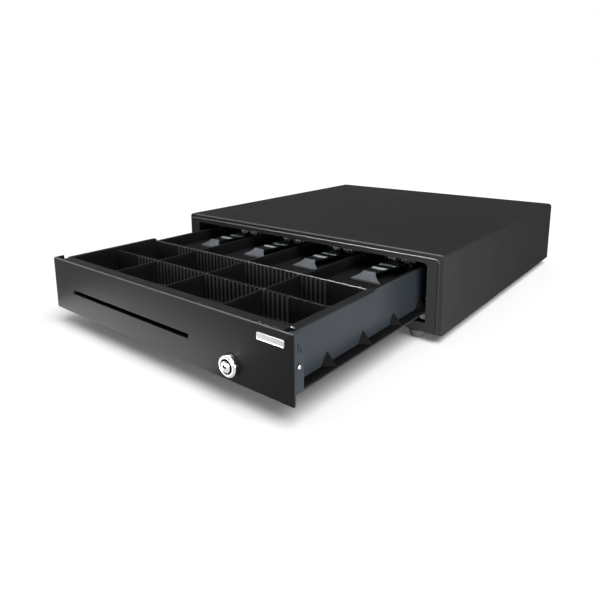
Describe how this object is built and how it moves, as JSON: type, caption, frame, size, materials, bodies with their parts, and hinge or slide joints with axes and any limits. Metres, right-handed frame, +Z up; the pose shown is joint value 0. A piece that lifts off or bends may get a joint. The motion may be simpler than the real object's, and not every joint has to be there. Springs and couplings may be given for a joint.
{
  "type": "cash drawer",
  "caption": "Low steel cash drawer standing on rubber feet, its drawer part open, with a combed coin tray, sprung note clips, a media slot and a key lock.",
  "frame": {"origin": "middle of the whole object's outline on the floor, with the drawer as pictured", "axes": "+X to the right as seen from the front, +Y towards the back, +Z up"},
  "size_m": [0.41, 0.6482, 0.1],
  "materials": {
    "case_paint": "fine-textured black powder coat, satin",
    "front_paint": "fine-textured black powder coat, satin",
    "pan_paint": "smooth black paint, low gloss",
    "tray_plastic": "black moulded plastic, lightly textured",
    "clip_plastic": "black moulded plastic, polished tops",
    "rubber": "matt moulded rubber",
    "zinc_steel": "zinc plated",
    "spring_steel": "drawn wire",
    "chrome": "polished chrome plate",
    "silver_plate": "satin, bare",
    "roller_plastic": "pale nylon",
    "coil_winding": "enamelled copper wire",
    "dark_plastic": "moulded, matt"
  },
  "bodies": {
    "cabinet": {"case_shell": "case_paint", "base_plate": "case_paint", "foot_front_left": "rubber", "foot_front_right": "rubber", "foot_back_left": "rubber", "foot_back_right": "rubber", "runner_left": "zinc_steel", "runner_right": "zinc_steel", "front_roller_pin_left": "zinc_steel", "front_roller_pin_right": "zinc_steel", "stop_bumper": "rubber", "latch_bracket": "zinc_steel", "latch_pivot_pin": "zinc_steel", "solenoid_coil": "coil_winding", "kick_spring": "spring_steel", "drawer_switch": "dark_plastic", "cable_grommet": "rubber"},
    "drawer": {"drawer_pan": "pan_paint", "drawer_front": "front_paint", "front_screw_left": "zinc_steel", "front_screw_right": "zinc_steel", "name_plate": "silver_plate", "lock_barrel": "chrome", "lock_nut": "zinc_steel", "striker": "zinc_steel", "rear_roller_pin_left": "zinc_steel", "rear_roller_pin_right": "zinc_steel", "note_tray": "tray_plastic", "note_clip_bracket_1": "clip_plastic", "note_clip_bracket_2": "clip_plastic", "note_clip_bracket_3": "clip_plastic", "note_clip_bracket_4": "clip_plastic", "note_clip_pin_1": "zinc_steel", "note_clip_pin_2": "zinc_steel", "note_clip_pin_3": "zinc_steel", "note_clip_pin_4": "zinc_steel"},
    "coin_insert": {"coin_tray": "tray_plastic", "coin_divider_1": "tray_plastic", "coin_divider_2": "tray_plastic", "coin_divider_3": "tray_plastic", "coin_divider_4": "tray_plastic", "coin_divider_5": "tray_plastic", "coin_divider_6": "tray_plastic"},
    "lock": {"lock_plug": "chrome", "lock_cam": "zinc_steel"},
    "latch": {"latch_lever": "zinc_steel"},
    "plunger": {"solenoid_plunger": "zinc_steel"},
    "front_wheel_left": {"front_roller_left": "roller_plastic"},
    "rear_wheel_left": {"rear_roller_left": "roller_plastic"},
    "front_wheel_right": {"front_roller_right": "roller_plastic"},
    "rear_wheel_right": {"rear_roller_right": "roller_plastic"},
    "clip_1": {"note_clip_1": "clip_plastic", "note_clip_spring_1": "spring_steel"},
    "clip_2": {"note_clip_2": "clip_plastic", "note_clip_spring_2": "spring_steel"},
    "clip_3": {"note_clip_3": "clip_plastic", "note_clip_spring_3": "spring_steel"},
    "clip_4": {"note_clip_4": "clip_plastic", "note_clip_spring_4": "spring_steel"}
  },
  "joints": [
    {"name": "drawer_slide", "type": "slide", "parent": "cabinet", "child": "drawer", "axis": [0, -1, 0], "range_m": [-0.2244, 0.06], "deforming": ["kick_spring"]},
    {"name": "coin_tray_lift", "type": "slide", "parent": "drawer", "child": "coin_insert", "axis": [0, 0, 1], "range_m": [0, 0.05]},
    {"name": "lock_turn", "type": "hinge", "parent": "drawer", "child": "lock", "pos_m": [0.114, -0.31735, 0.037], "axis": [0, 1, 0], "range_deg": [0, 90]},
    {"name": "latch_turn", "type": "hinge", "parent": "cabinet", "child": "latch", "pos_m": [0.02, 0.29205, 0.0216], "axis": [0, 0, 1], "range_deg": [-20, 0]},
    {"name": "plunger_slide", "type": "slide", "parent": "cabinet", "child": "plunger", "axis": [1, 0, 0], "range_m": [0, 0.005]},
    {"name": "note_clip_1_lift", "type": "hinge", "parent": "drawer", "child": "clip_1", "pos_m": [-0.12652, -0.04305, 0.0727], "axis": [-1, 0, 0], "range_deg": [0, 12], "stiffness_Nm_per_rad": 0.04, "springref_deg": -28.65},
    {"name": "note_clip_2_lift", "type": "hinge", "parent": "drawer", "child": "clip_2", "pos_m": [-0.042, -0.04305, 0.0727], "axis": [-1, 0, 0], "range_deg": [0, 12], "stiffness_Nm_per_rad": 0.04, "springref_deg": -28.65},
    {"name": "note_clip_3_lift", "type": "hinge", "parent": "drawer", "child": "clip_3", "pos_m": [0.042, -0.04305, 0.0727], "axis": [-1, 0, 0], "range_deg": [0, 12], "stiffness_Nm_per_rad": 0.04, "springref_deg": -28.65},
    {"name": "note_clip_4_lift", "type": "hinge", "parent": "drawer", "child": "clip_4", "pos_m": [0.12652, -0.04305, 0.0727], "axis": [-1, 0, 0], "range_deg": [0, 12], "stiffness_Nm_per_rad": 0.04, "springref_deg": -28.65},
    {"name": "front_roller_left_spin", "type": "hinge", "parent": "cabinet", "child": "front_wheel_left", "pos_m": [-0.1805, -0.08395, 0.026], "axis": [1, 0, 0], "continuous": true},
    {"name": "rear_roller_left_spin", "type": "hinge", "parent": "drawer", "child": "rear_wheel_left", "pos_m": [-0.1775, 0.01205, 0.0355], "axis": [1, 0, 0], "continuous": true},
    {"name": "front_roller_right_spin", "type": "hinge", "parent": "cabinet", "child": "front_wheel_right", "pos_m": [0.1805, -0.08395, 0.026], "axis": [1, 0, 0], "continuous": true},
    {"name": "rear_roller_right_spin", "type": "hinge", "parent": "drawer", "child": "rear_wheel_right", "pos_m": [0.1775, 0.01205, 0.0355], "axis": [1, 0, 0], "continuous": true}
  ],
  "couplings": [
    {"joint": "plunger_slide", "follows": "latch_turn", "m_per_rad": -0.014},
    {"joint": "front_roller_left_spin", "follows": "drawer_slide", "rad_per_m": 200},
    {"joint": "rear_roller_left_spin", "follows": "drawer_slide", "rad_per_m": 166.67},
    {"joint": "front_roller_right_spin", "follows": "drawer_slide", "rad_per_m": 200},
    {"joint": "rear_roller_right_spin", "follows": "drawer_slide", "rad_per_m": 166.67}
  ]
}
